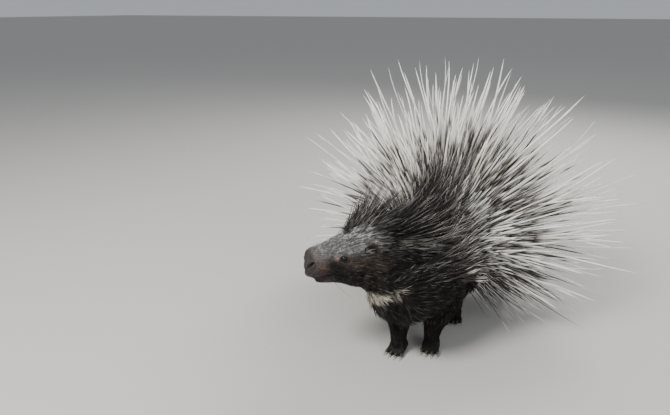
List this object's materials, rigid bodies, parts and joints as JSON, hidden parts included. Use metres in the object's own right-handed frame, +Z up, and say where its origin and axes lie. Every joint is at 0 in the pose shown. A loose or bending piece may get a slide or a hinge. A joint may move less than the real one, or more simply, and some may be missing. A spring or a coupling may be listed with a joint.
{
  "type": "standing porcupine, a life-size still animal model",
  "caption": "Life-size porcupine standing on gathered feet, head turned to its right, quills raised in a wide fan, bristly crest, short tail.",
  "frame": {"origin": "middle of the model's footprint box, on the floor under the soles", "axes": "+Z up; the body faces -Y and its left side is +X, so the fan of quills is widest along X"},
  "size_m": [0.7988, 0.6722, 0.582],
  "materials": {
    "coat": "coarse near-black brown bristles with pale flecks",
    "face": "short dark brown fur, frosted grey on top",
    "quills": "hard smooth keratin, cream white with a dark brown band",
    "paw": "thinly haired dark skin with worn claws",
    "eye": "wet glossy black"
  },
  "bodies": {
    "root": {"head": "face", "neck": "coat", "forebody": "coat", "midbody": "quills", "rump": "quills", "tail": "quills", "ear_left": "face", "ear_right": "face", "eye_left": "eye", "eye_right": "eye", "foreleg_left": "coat", "foreleg_right": "coat", "hindleg_left": "coat", "hindleg_right": "coat", "forepaw_left": "paw", "forepaw_right": "paw", "hindpaw_left": "paw", "hindpaw_right": "paw"}
  },
  "joints": []
}
